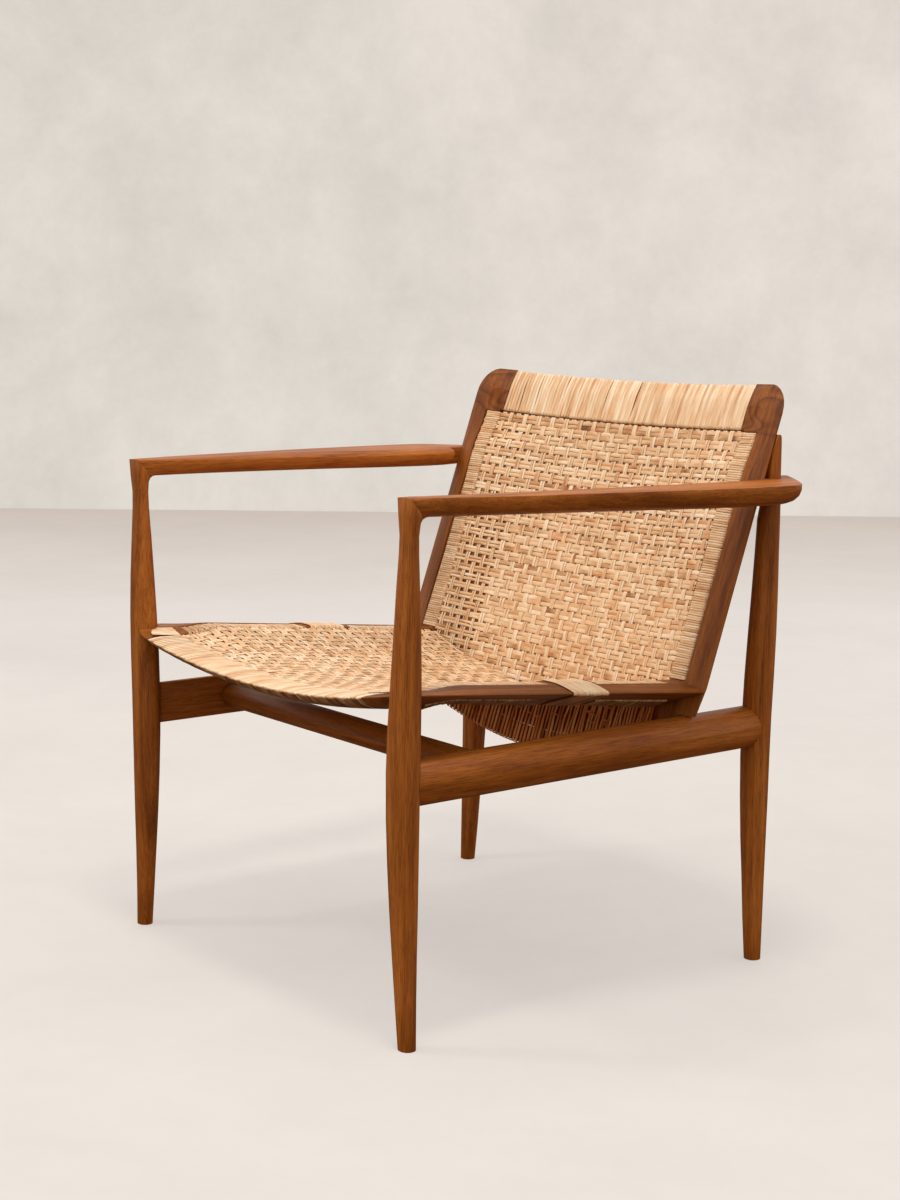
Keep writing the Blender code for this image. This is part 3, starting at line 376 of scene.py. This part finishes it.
def wound(outline, normal, sink):
    """Even points round an outline, its corners cut twice, sunk inside it, and the directions out of it."""
    first = Vector(normal).orthogonal().normalized()
    e1, e2 = np.array(first), np.cross(normal, np.array(first))
    centre = outline.mean(0)
    flat = np.stack([(outline - centre) @ e1, (outline - centre) @ e2], -1)
    nxt = np.roll(flat, -1, 0)
    if (flat[:, 0] * nxt[:, 1] - flat[:, 1] * nxt[:, 0]).sum() < 0:
        flat = flat[::-1]
    for _ in range(2):
        nxt = np.roll(flat, -1, 0)
        flat = np.stack([flat * 0.80 + nxt * 0.20, flat * 0.20 + nxt * 0.80], 1).reshape(-1, 2)
    ring = np.concatenate([flat, flat[:1]])
    run = np.concatenate([[0], np.cumsum(np.linalg.norm(np.diff(ring, axis=0), axis=1))])
    count = max(12, int(run[-1] / WRAP_STEP))
    at = np.linspace(0, run[-1], count, endpoint=False)
    flat = np.stack([np.interp(at, run, ring[:, 0]), np.interp(at, run, ring[:, 1])], -1)
    tangent = np.roll(flat, -1, 0) - np.roll(flat, 1, 0)
    tangent /= np.linalg.norm(tangent, axis=1, keepdims=True)
    outward = np.stack([tangent[:, 1], -tangent[:, 0]], -1)
    flat = flat - outward * sink
    return centre + flat[:, :1] * e1 + flat[:, 1:] * e2, outward[:, :1] * e1 + outward[:, 1:] * e2


def wrap(bundle, source, start, end, pitch, plane_of, tones, skew=0.0002, fill=1.08, sink=WRAP_STRAND / 2):
    """Strands side by side round a node, with painted shade underneath. plane_of gives a plane for a place
    along it.

    skew is how far a strand strays sideways, fill its width against the pitch, and sink how deep its
    middle lies.
    """
    triangles = triangles_of(source)
    count = max(1, round((end - start) / pitch))
    for k in range(count):
        share = (k + 0.5) / count
        origin, normal = plane_of(start + (end - start) * share)
        outline = outline_at(triangles, origin, normal)
        if outline is None:
            continue
        path, outward = wound(outline, normal, sink)
        n = len(path)
        turn = np.arange(n) / n * 2 * math.pi
        phase, size = RANDOM.uniform(0, 6.3), RANDOM.normal(0, skew)
        path = path + normal * (size * np.sin(turn + phase))[:, None]
        width = pitch * fill * (1 + RANDOM.normal(0, 0.05) + 0.04 * np.sin(2 * turn + phase))
        base = RANDOM.normal(*tones)
        # painted shade: each loop darkens where it faces down
        underside_shade = 0.60 * smooth_step(-outward[:, 2], 0.2, 0.8)
        tone = np.clip(base + 0.09 * np.sin(turn + RANDOM.uniform(0, 6.3)) - underside_shade, 0, 1)
        bundle.add(path, outward, width, WRAP_STRAND, tone, closed=True)


# ------------------------------------------------------------------ materials
def nodes_of(name):
    look = bpy.data.materials.new(name)
    look.use_nodes = True
    tree = look.node_tree
    return look, tree, tree.nodes["Principled BSDF"]


def feed(tree, socket, value):
    """Links a socket to another, or gives it a plain value."""
    if isinstance(value, bpy.types.NodeSocket):
        tree.links.new(value, socket)
    else:
        socket.default_value = value


def node(tree, kind, inputs=(), **settings):
    made = tree.nodes.new(kind)
    for key, value in settings.items():
        setattr(made, key, value)
    for key, value in dict(inputs).items():
        feed(tree, made.inputs[key], value)
    return made


def ramp(tree, factor, stops):
    made = node(tree, "ShaderNodeValToRGB", {"Fac": factor})
    band = made.color_ramp
    while len(band.elements) < len(stops):
        band.elements.new(0.5)
    for element, (place, colour) in zip(band.elements, stops):
        element.position = place
        element.color = (*colour, 1)
    return made.outputs["Color"]


def maths(tree, operation, *values):
    return node(tree, "ShaderNodeMath", dict(enumerate(values)), operation=operation).outputs[0]


def noise(tree, vector, scale, detail=3.0, roughness=0.55, distortion=0.0):
    settings = {"Scale": scale, "Detail": detail, "Roughness": roughness, "Distortion": distortion}
    return node(tree, "ShaderNodeTexNoise", {"Vector": vector, **settings}).outputs["Fac"]


def scaled(tree, vector, scale, rotation=(0, 0, 0), location=(0, 0, 0)):
    settings = {"Scale": scale, "Rotation": rotation, "Location": location}
    return node(tree, "ShaderNodeMapping", {"Vector": vector, **settings}).outputs["Vector"]


def mapped(tree, value, low, high, least=0.0, most=1.0):
    """value from low to high, stretched to run from least to most."""
    settings = {"From Min": low, "From Max": high, "To Min": least, "To Max": most}
    return node(tree, "ShaderNodeMapRange", {"Value": value, **settings}).outputs["Result"]


def object_place(tree):
    return node(tree, "ShaderNodeTexCoord").outputs["Object"]


def bump(tree, shader, height, strength, distance):
    made = node(tree, "ShaderNodeBump", {"Height": height, "Strength": strength, "Distance": distance})
    tree.links.new(made.outputs["Normal"], shader.inputs["Normal"])


def tinted(tree, factor, colour, tint):
    """colour multiplied by tint, by a share of factor."""
    made = node(tree, "ShaderNodeMix", data_type="RGBA", blend_type="MULTIPLY")
    for place, value in ((0, factor), (6, colour), (7, tint)):   # its factor and its two colours
        feed(tree, made.inputs[place], value)
    return made.outputs[2]


PLAIN = (1, 1, 1)                 # a tint that changes nothing
WOOD_STOPS = ((0.30, (0.125, 0.030, 0.004)), (0.44, (0.250, 0.067, 0.008)), (0.54, (0.350, 0.102, 0.013)),
              (0.68, (0.450, 0.150, 0.023)))
# Its darkest stops also serve as painted shade: under the bands, behind the open weave and below the seat.
CANE_STOPS = ((0.02, (0.170, 0.060, 0.018)), (0.24, (0.470, 0.235, 0.095)), (0.48, (0.680, 0.415, 0.218)),
              (0.72, (0.800, 0.560, 0.340)), (0.98, (0.870, 0.690, 0.490)))
SWIRL_Z = (0.625, 0.645)          # from where to where the curved grain of the stiles begins
KNOT_AT, KNOT_SIZE = (0.2960, -0.0870, 0.2880), 0.0040


def swirl(tree, colour):
    """Curved dark grain in the rounded tops of the stiles."""
    place = object_place(tree)
    high = node(tree, "ShaderNodeSeparateXYZ", {"Vector": place}).outputs["Z"]
    rings = noise(tree, scaled(tree, place, (9, 9, 30), (0.0, 0.7, 0.0)), 1.0, 1, 0.3, 0.3)
    lines = maths(tree, "FRACT", maths(tree, "MULTIPLY", rings, 8.0))
    ring = (0.45, 0.38, 0.32)
    dark = ramp(tree, lines, ((0.0, ring), (0.45, PLAIN), (0.80, PLAIN), (1.0, ring)))
    top = mapped(tree, high, *SWIRL_Z)
    return tinted(tree, maths(tree, "MULTIPLY", top, 0.8), colour, dark)


def knot(tree, colour):
    """A small dark knot."""
    ends = {0: object_place(tree), 1: KNOT_AT}
    away = node(tree, "ShaderNodeVectorMath", ends, operation="DISTANCE").outputs["Value"]
    dark = ramp(tree, maths(tree, "DIVIDE", away, KNOT_SIZE), ((0.35, (0.42, 0.36, 0.30)), (1.0, PLAIN)))
    return tinted(tree, 1.0, colour, dark)


def wood(name, direction, seed, shade=1.0):
    """Oiled, straight-grained wood whose grain runs along direction."""
    look, tree, shader = nodes_of(name)
    turn = Vector(direction).rotation_difference(Vector((1, 0, 0))).to_euler()
    place = scaled(tree, object_place(tree), (1, 1, 1), turn, (seed * 1.7, seed * 0.61, seed * 0.37))
    figure = noise(tree, scaled(tree, place, (2.6, 30, 30)), 1.0, 4, 0.60, 0.9)
    streak = noise(tree, scaled(tree, place, (7, 210, 210)), 1.0, 4, 0.62, 0.3)
    pores = noise(tree, scaled(tree, place, (42, 1300, 1300)), 1.0, 2, 0.6)
    blend = maths(tree, "ADD", maths(tree, "MULTIPLY", figure, 0.62), maths(tree, "MULTIPLY", streak, 0.38))
    colour = ramp(tree, blend, [(p, tuple(c * shade for c in rgb)) for p, rgb in WOOD_STOPS])
    pore = ramp(tree, pores, ((0.40, (0.55, 0.50, 0.46)), (0.50, PLAIN)))
    colour = tinted(tree, 0.8, colour, pore)
    if name.startswith("back_stile"):
        colour = swirl(tree, colour)
    if name.startswith("stretcher_right"):
        colour = knot(tree, colour)
    tree.links.new(colour, shader.inputs["Base Color"])
    tree.links.new(mapped(tree, streak, 0.3, 0.7, 0.56, 0.42), shader.inputs["Roughness"])
    height = maths(tree, "ADD", maths(tree, "MULTIPLY", pores, 0.7), maths(tree, "MULTIPLY", streak, 0.3))
    bump(tree, shader, height, 0.22, 0.0004)
    shader.inputs["Specular IOR Level"].default_value = 0.16
    return look


def cane(name, shade, edge_shade, tint=PLAIN, gloss=0.35):
    """Split cane: pale, glossy skin with fine fibres along each strand. edging darkens its edges with
    painted shade, where strands meet.
    """
    look, tree, shader = nodes_of(name)
    strand = node(tree, "ShaderNodeAttribute", attribute_name="strand").outputs["Vector"]
    tone = node(tree, "ShaderNodeAttribute", attribute_name="tone").outputs["Fac"]
    parts = node(tree, "ShaderNodeSeparateXYZ", {"Vector": strand})
    across, along, edge = (parts.outputs[axis] for axis in "XYZ")
    flat = node(tree, "ShaderNodeCombineXYZ", {"X": across, "Y": along}).outputs[0]
    fibre = noise(tree, scaled(tree, flat, (1500, 26, 1)), 1.0, 3, 0.6)
    patch = noise(tree, scaled(tree, flat, (160, 30, 1)), 1.0, 3, 0.6)
    level = maths(tree, "ADD", tone, maths(tree, "MULTIPLY_ADD", patch, 0.70, -0.35))
    level = maths(tree, "ADD", level, maths(tree, "MULTIPLY_ADD", fibre, 0.44, -0.22))
    blush = noise(tree, scaled(tree, flat, (90, 22, 1), (0, 0, 0), (3.1, 7.7, 0)), 1.0, 2, 0.5)
    stops = [(p, tuple(c * shade * t for c, t in zip(rgb, tint))) for p, rgb in CANE_STOPS]
    colour = ramp(tree, level, stops)
    warmth = ramp(tree, blush, ((0.50, PLAIN), (0.66, (0.93, 0.72, 0.58))))
    colour = tinted(tree, 1.0, colour, warmth)
    # painted shade along each strand's edges, where it meets the next
    colour = tinted(tree, edge_shade, colour, ramp(tree, edge, ((0.60, PLAIN), (1.0, (0.60, 0.47, 0.36)))))
    tree.links.new(colour, shader.inputs["Base Color"])
    tree.links.new(mapped(tree, fibre, 0.0, 1.0, 0.36, 0.62), shader.inputs["Roughness"])
    bump(tree, shader, fibre, 0.35, 0.0003)
    shader.inputs["Specular IOR Level"].default_value = gloss
    return look


def brass(name):
    look, tree, shader = nodes_of(name)
    wear = noise(tree, object_place(tree), 900.0, 4, 0.6)
    colour = ramp(tree, wear, ((0.3, (0.30, 0.20, 0.08)), (0.7, (0.62, 0.47, 0.22))))
    tree.links.new(colour, shader.inputs["Base Color"])
    shader.inputs["Metallic"].default_value = 1.0
    tree.links.new(mapped(tree, wear, 0.0, 1.0, 0.28, 0.55), shader.inputs["Roughness"])
    return look


# ------------------------------------------------------------------ wooden pieces
def grain_of(name, low, high):
    """The way the grain runs in a piece."""
    if name.startswith("leg"):
        return (0, 0, 1)
    if name.startswith("back_stile"):
        return (0, *UP)
    if name.startswith("seat_side_rail"):
        return (0, 1, -SEAT_FALL)
    size = high - low
    return tuple(1.0 if k == max(range(3), key=lambda a: size[a]) else 0.0 for k in range(3))


def finish_wood(name, piece, seed):
    low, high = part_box(name)
    if "screw" in name:
        look, slot_name = brass(name + "_brass"), "brass_screw"
    elif "dowel" in name:
        look, slot_name = wood(name + "_wood", grain_of(name, low, high), seed, 1.25), "dowel_wood"
    else:
        shade = 0.72 if name.startswith(("back_stile", "seat_side_rail")) else 1.0
        look, slot_name = wood(name + "_wood", grain_of(name, low, high), seed, shade), "oiled_wood"
    piece.data.materials.clear()
    piece.data.materials.append(look)
    piece.data.shade_smooth()
    weld = piece.modifiers.new("weld", "WELD")
    weld.merge_threshold = WELD
    if "dowel" not in name and "screw" not in name:
        bevel = piece.modifiers.new("arris", "BEVEL")
        bevel.width = ARRIS
        bevel.segments = 2
        bevel.limit_method = "ANGLE"
        bevel.angle_limit = math.radians(38)
        bevel.harden_normals = True


for number, (piece_name, piece) in enumerate(sorted(NODES.items())):
    if not piece_name.startswith("cane"):
        finish_wood(piece_name, piece, number + 1)

# ------------------------------------------------------------------ woven seat and back
WOVEN_LOOK = cane("woven_cane", shade=0.93, edge_shade=0.45)
WOUND_LOOK = cane("wound_cane", shade=0.90, edge_shade=0.38)
BRIDGE_LOOK = cane("bridge_cane", shade=0.88, edge_shade=0.20)
BAND_LOOK = cane("band_cane", shade=0.88, edge_shade=0.45)
# A darker, redder copy of the cane, as painted shade for the strands that hang under the seat.
CURTAIN_SHADE_LOOK = cane("curtain_cane_painted_shade", shade=1.10, edge_shade=0.8, tint=(1.0, 0.64, 0.38), gloss=0.05)


def everywhere(value):
    return lambda x: np.full(np.shape(x), value)


def seat_end(x):
    return crease_y(x) - 0.0018


def back_foot(x):
    return crease(x) - 0.0060


seat = Bundle()
weave(seat, seat_surface, everywhere(FIELD_FRONT), seat_end, FIELD_FRONT + ROW_PITCH * 0.5, on_seat=True)
seat.finish("woven_seat", WOVEN_LOOK, "cane_seat")

back = Bundle()
weave(back, back_surface, back_foot, everywhere(FIELD_TOP), FIELD_TOP - ROW_PITCH * 27.5, on_seat=False)
back.finish("woven_back", WOVEN_LOOK, "cane_back")


# ------------------------------------------------------------------ strands that hang below the seat
def crease_at(x):
    return float(crease(np.array(x)))


def hanging_line(x):
    """Places (s, height) from the crease down round the bottom rail and up to the rear rail."""
    face, top, foot = back_height(x, -0.1), crease_at(x), bottom_edge(x)
    bends = np.radians(np.arange(0, 91, 18))
    line = [(s, face - SKIN) for s in np.linspace(top - 0.0062, foot + TURN, 14)]
    line += [(foot + TURN - (TURN - SKIN) * math.sin(b), face - TURN + (TURN - SKIN) * math.cos(b))
             for b in bends[1:]]
    line += [(foot + TURN - (TURN - SKIN) * math.cos(b), face - BAR + TURN - (TURN - SKIN) * math.sin(b))
             for b in bends]
    line += [(s, face - BAR + SKIN) for s in np.linspace(foot + TURN + 0.004, top - 0.0265, 8)]
    return np.array(line).T


def hanging_strand(bundle, x):
    """A loose strand, which strays sideways between the crease and the rail. Its way up, behind the rail, is
    darkened with painted shade.
    """
    along, height = hanging_line(x)
    n = len(along)
    from_foot, from_top = along - bottom_edge(x) - 0.030, crease_at(x) - along - 0.004
    slack = np.clip(np.minimum(from_foot / 0.02, from_top / 0.01), 0, 1)
    points = back_place(np.full(n, x) + wander(n, 6, 0.0014) * slack, along, height)
    normal = np.cross(X_AXIS, np.gradient(points, axis=0))
    normal /= -np.linalg.norm(normal, axis=1, keepdims=True)
    tone = tone_along(RANDOM.normal(0.50, 0.13), n)
    # painted shade on the way up behind the rail
    tone[-10:] *= 0.5
    width = RANDOM.uniform(0.0028, 0.0040) + 0.0012 * (1 - slack)
    bundle.add(points, normal, width, STRAND, tone)


def shade_strip(bundle, x, thick):
    """A strip of painted shade behind the loose strands, so that nothing pale shows between them."""
    n = 8
    s = np.linspace(bottom_edge(x) + 0.0274, crease_at(x) - 0.0016, n)
    path, normal = lifted(back_surface, np.full(n, x) + wander(n, 3, 0.0003), s, np.full(n, -RETURN_DEPTH))
    # tone 0, the darkest cane colour, as painted shade
    bundle.add(path, normal, BACKING_WIDTH, thick, 0.0)


def strand_knot(bundle):
    """A short end of cane across the loose strands."""
    x = RANDOM.uniform(-0.19, 0.20)
    s = RANDOM.uniform(bottom_edge(x) + 0.038, crease_at(x) - 0.014)
    reach = RANDOM.uniform(0.004, 0.007)
    s_line = s + np.linspace(-1, 1, 6) * RANDOM.normal(0, 0.002)
    arch = np.array([-8, 2, 6, 6, 2, -8]) * 1e-4
    path, normal = lifted(back_surface, np.linspace(x - reach, x + reach, 6), s_line, arch)
    bundle.add(path, normal, RANDOM.uniform(0.0022, 0.0034), STRAND, RANDOM.uniform(0.25, 0.60))


# The strands of the back run on below the seat, unwoven, round the bottom rail and up again behind it.
curtain = Bundle()
for i in range(BACKING):
    shade_strip(curtain, BACKING_HALF * (2 * (i + 0.5) / BACKING - 1), RETURN_STRAND * (1 + 0.2 * (i % 2)))
for i in range(HANGING):
    hanging_strand(curtain, HANGING_HALF * (2 * (i + 0.5) / HANGING - 1) + RANDOM.normal(0, 0.0005))
for _ in range(KNOTS):
    strand_knot(curtain)
curtain.finish("curtain_of_strands", CURTAIN_SHADE_LOOK, "cane_back_strands", "cane_bottom_wrap",
               "cane_return_strands")


# ------------------------------------------------------------------ wound rails and bands
def across_chair(x):
    return np.array([x, 0.0, 0.0]), X_AXIS


SEAT_RUN = np.array([0.0, 1.0, -SEAT_FALL]) / math.hypot(1, SEAT_FALL)


def along_seat(y):
    return np.array([0.0, y - CENTRE_Y, SEAT_Z - SEAT_FALL * y]), SEAT_RUN


def along_back(s):
    return np.array([0.0, BACK_Y + UP[0] * s - CENTRE_Y, BACK_Z + UP[1] * s]), np.array([0.0, *UP])


for name, tones in (("front", (0.72, 0.15)), ("top", (0.70, 0.14))):
    source = f"cane_{name}_wrap"
    low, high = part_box(source)
    rail = Bundle()
    wrap(rail, source, low.x, high.x, WRAP_PITCH, across_chair, tones, skew=0.0005, fill=1.20)
    rail.finish(f"wound_{name}_rail", WOUND_LOOK, source)

BAND_TONES, BRIDGE_TONES = (0.62, 0.12), (0.72, 0.04)
for side in ("left", "right"):
    for name, ends in SEAT_BANDS.items():
        band = Bundle()
        wrap(band, f"cane_{name}_{side}", *ends, BAND_PITCH, along_seat, BAND_TONES, sink=0.0014)
        band.finish(f"wound_{name}_{side}", BAND_LOOK, f"cane_{name}_{side}")
    band = Bundle()
    wrap(band, f"cane_back_band_{side}", *BACK_BAND, BAND_PITCH, along_back, BAND_TONES)
    band.finish(f"wound_back_band_{side}", BAND_LOOK, f"cane_back_band_{side}")
    bridge = Bundle()
    wrap(bridge, f"cane_bridge_wrap_{side}", *BRIDGE, BRIDGE_PITCH, along_seat, BRIDGE_TONES, fill=1.12)
    bridge.finish(f"wound_bridge_{side}", BRIDGE_LOOK, f"cane_bridge_wrap_{side}")


# The front wrap's strands spread out over each front corner, inside a crescent of bare wood.
def lay_down(bundle, tree, start, heading, width, tone):
    """One strand laid on top of a node's tree of faces, from a plan point along a plan heading."""
    path, normals = [], []
    for run in np.arange(-0.010, 0.070, 0.0015):
        x, y = start[0] + heading[0] * run, start[1] + heading[1] * run
        place, normal = tree.ray_cast(Vector((x, y, 1)), Vector((0, 0, -1)))[:2]
        if place is not None:
            path.append(place)
            normals.append(normal)
    if len(path) > 3:
        path, normals = np.array(path), np.array(normals)
        tones = tone_along(tone, len(path))
        bundle.add(path - normals * WRAP_STRAND / 2, normals, width, WRAP_STRAND, tones)


for side, sign in (("left", -1), ("right", 1)):
    source = f"cane_corner_{side}"
    mesh = NODES[source].data
    faces = BVHTree.FromPolygons([v.co for v in mesh.vertices], [p.vertices for p in mesh.polygons])
    fan = Bundle()
    for k in range(FAN_STRANDS):
        turn = math.radians(FAN_TURN * k) * sign
        start = (sign * (FAN_X + FAN_PITCH * k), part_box(source)[0].y)
        heading = (math.sin(turn), math.cos(turn))
        lay_down(fan, faces, start, heading, FAN_WIDTH, RANDOM.normal(0.72, 0.10))
    fan.finish(f"wound_corner_{side}", WOUND_LOOK, source)


# ------------------------------------------------------------------ camera, light and room
def look_at(position, azimuth, pitch, roll):
    """A camera matrix from compass angles, in degrees."""
    a, p, r = (math.radians(v) for v in (azimuth, pitch, roll))
    right = Vector((math.cos(a), math.sin(a), 0))
    ahead = Vector((-math.sin(a) * math.cos(p), math.cos(a) * math.cos(p), -math.sin(p)))
    above = right.cross(ahead)
    turned, top = right * math.cos(r) + above * math.sin(r), above * math.cos(r) - right * math.sin(r)
    matrix = Matrix((turned, top, -ahead)).transposed().to_4x4()
    matrix.translation = position
    return matrix


camera = bpy.data.objects.new("camera", bpy.data.cameras.new("camera"))
bpy.context.scene.collection.objects.link(camera)
camera.data.sensor_width = SENSOR
camera.data.lens = LENS
camera.matrix_world = look_at(EYE, AZIMUTH, PITCH, ROLL)
bpy.context.scene.camera = camera


def plaster(name, colour, low, high, scale, glow, paint, across, far_shade=PLAIN):
    """A pale, clouded matt surface. glow is the light that washes it, beside the light that falls on it.

    low and high shade its clouds, and paint the light that it sends back. across tints it at the left and
    right of the view as painted light, and the far tint paints shade where the floor and the wall meet.
    """
    look, tree, shader = nodes_of(name)
    place = object_place(tree)
    cloud = noise(tree, place, scale, 9, 0.74, 0.15)
    dark, light = (tuple(c * share for c in colour) for share in (low, high))
    tint = ramp(tree, cloud, ((0.36, dark), (0.64, light)))
    right, ahead, foot = room_lines()
    # painted light across the view, and painted shade where the floor meets the wall
    for line, start, end, colours in ((right, -2.2, 2.2, across), (ahead, -2.3, -0.1, (PLAIN, far_shade))):
        ends = {0: place, 1: line}
        reach = node(tree, "ShaderNodeVectorMath", ends, operation="DOT_PRODUCT").outputs["Value"]
        share = mapped(tree, reach, foot.dot(line) + start, foot.dot(line) + end)
        tint = tinted(tree, 1.0, tint, ramp(tree, share, ((0.0, colours[0]), (1.0, colours[1]))))
    tree.links.new(tinted(tree, 1.0, tint, (paint, paint, paint, 1)), shader.inputs["Base Color"])
    shader.inputs["Roughness"].default_value = 0.85
    tree.links.new(tint, shader.inputs["Emission Color"])
    shader.inputs["Emission Strength"].default_value = glow
    shader.inputs["Specular IOR Level"].default_value = 0.2
    bump(tree, shader, noise(tree, place, scale * 9, 6, 0.6), 0.08, 0.01)
    return look


def room_lines():
    """The view's right, the way ahead, and the place on the floor where the wall stands."""
    a = math.radians(AZIMUTH)
    right, ahead = Vector((math.cos(a), math.sin(a), 0)), Vector((-math.sin(a), math.cos(a), 0))
    return right, ahead, Vector((EYE.x, EYE.y, 0)) + ahead * WALL_AWAY


def room():
    """A pale floor that meets a plastered wall some way behind the chair."""
    right, ahead, foot = room_lines()
    side, near, up = right * ROOM_HALF, ahead * ROOM_DEPTH, Vector((0, 0, ROOM_HEIGHT))
    floor = bpy.data.meshes.new("floor")
    floor.from_pydata([foot + side, foot - side, foot - side - near, foot + side - near], [], [(0, 1, 2, 3)])
    wall = bpy.data.meshes.new("wall")
    wall.from_pydata([foot - side, foot + side, foot + side + up, foot - side + up], [], [(0, 1, 2, 3)])
    # The floor's far tint is painted shade where it meets the wall; the across tints of floor and wall are
    # painted light.
    floor_look = plaster("floor_paint", (0.84, 0.78, 0.73), low=0.965, high=1.03, scale=1.3,
                         glow=0.585, paint=0.28, across=((0.98, 0.98, 0.98), (1.02, 1.02, 1.02)),
                         far_shade=(0.81, 0.76, 0.735))
    wall_look = plaster("wall_plaster", (0.82, 0.785, 0.735), low=0.925, high=1.06, scale=1.9,
                        glow=0.535, paint=0.50, across=((0.97, 0.98, 0.98), (1.06, 1.05, 1.06)))
    for mesh, look in ((floor, floor_look), (wall, wall_look)):
        mesh.materials.append(look)
        obj = bpy.data.objects.new(mesh.name, mesh)
        obj.visible_diffuse = False
        obj.visible_glossy = False
        bpy.context.scene.collection.objects.link(obj)


def area_light(name, position, size, power):
    """A round, slightly warm lamp that points at the chair."""
    light = bpy.data.lights.new(name, "AREA")
    light.shape = "DISK"
    light.size, light.energy, light.color = size, power, LAMP_COLOUR
    obj = bpy.data.objects.new(name, light)
    bpy.context.scene.collection.objects.link(obj)
    obj.location = position
    obj.rotation_mode = "QUATERNION"
    obj.rotation_quaternion = (LAMPS_AIM - Vector(position)).to_track_quat("-Z", "Y")


def studio_world():
    """Soft light that is strongest overhead and fades towards the horizon."""
    world = bpy.data.worlds.new("studio")
    world.use_nodes = True
    tree = world.node_tree
    direction = node(tree, "ShaderNodeTexCoord").outputs["Generated"]
    up = node(tree, "ShaderNodeSeparateXYZ", {"Vector": direction}).outputs["Z"]
    sky = ramp(tree, maths(tree, "MULTIPLY_ADD", up, 0.5, 0.5),
               ((0.42, (0.15, 0.085, 0.045)), (0.50, (0.68, 0.65, 0.60)), (0.66, (0.78, 0.76, 0.72)),
                (0.95, (0.88, 0.86, 0.82))))
    tree.links.new(sky, tree.nodes["Background"].inputs["Color"])
    tree.nodes["Background"].inputs["Strength"].default_value = 1.26
    bpy.context.scene.world = world


room()
area_light("side", (-1.11, -1.67, 2.60), size=0.35, power=18)
area_light("overhead", (0.69, -0.41, 3.60), size=0.6, power=50)
studio_world()
bpy.context.scene.view_settings.view_transform = "Standard"
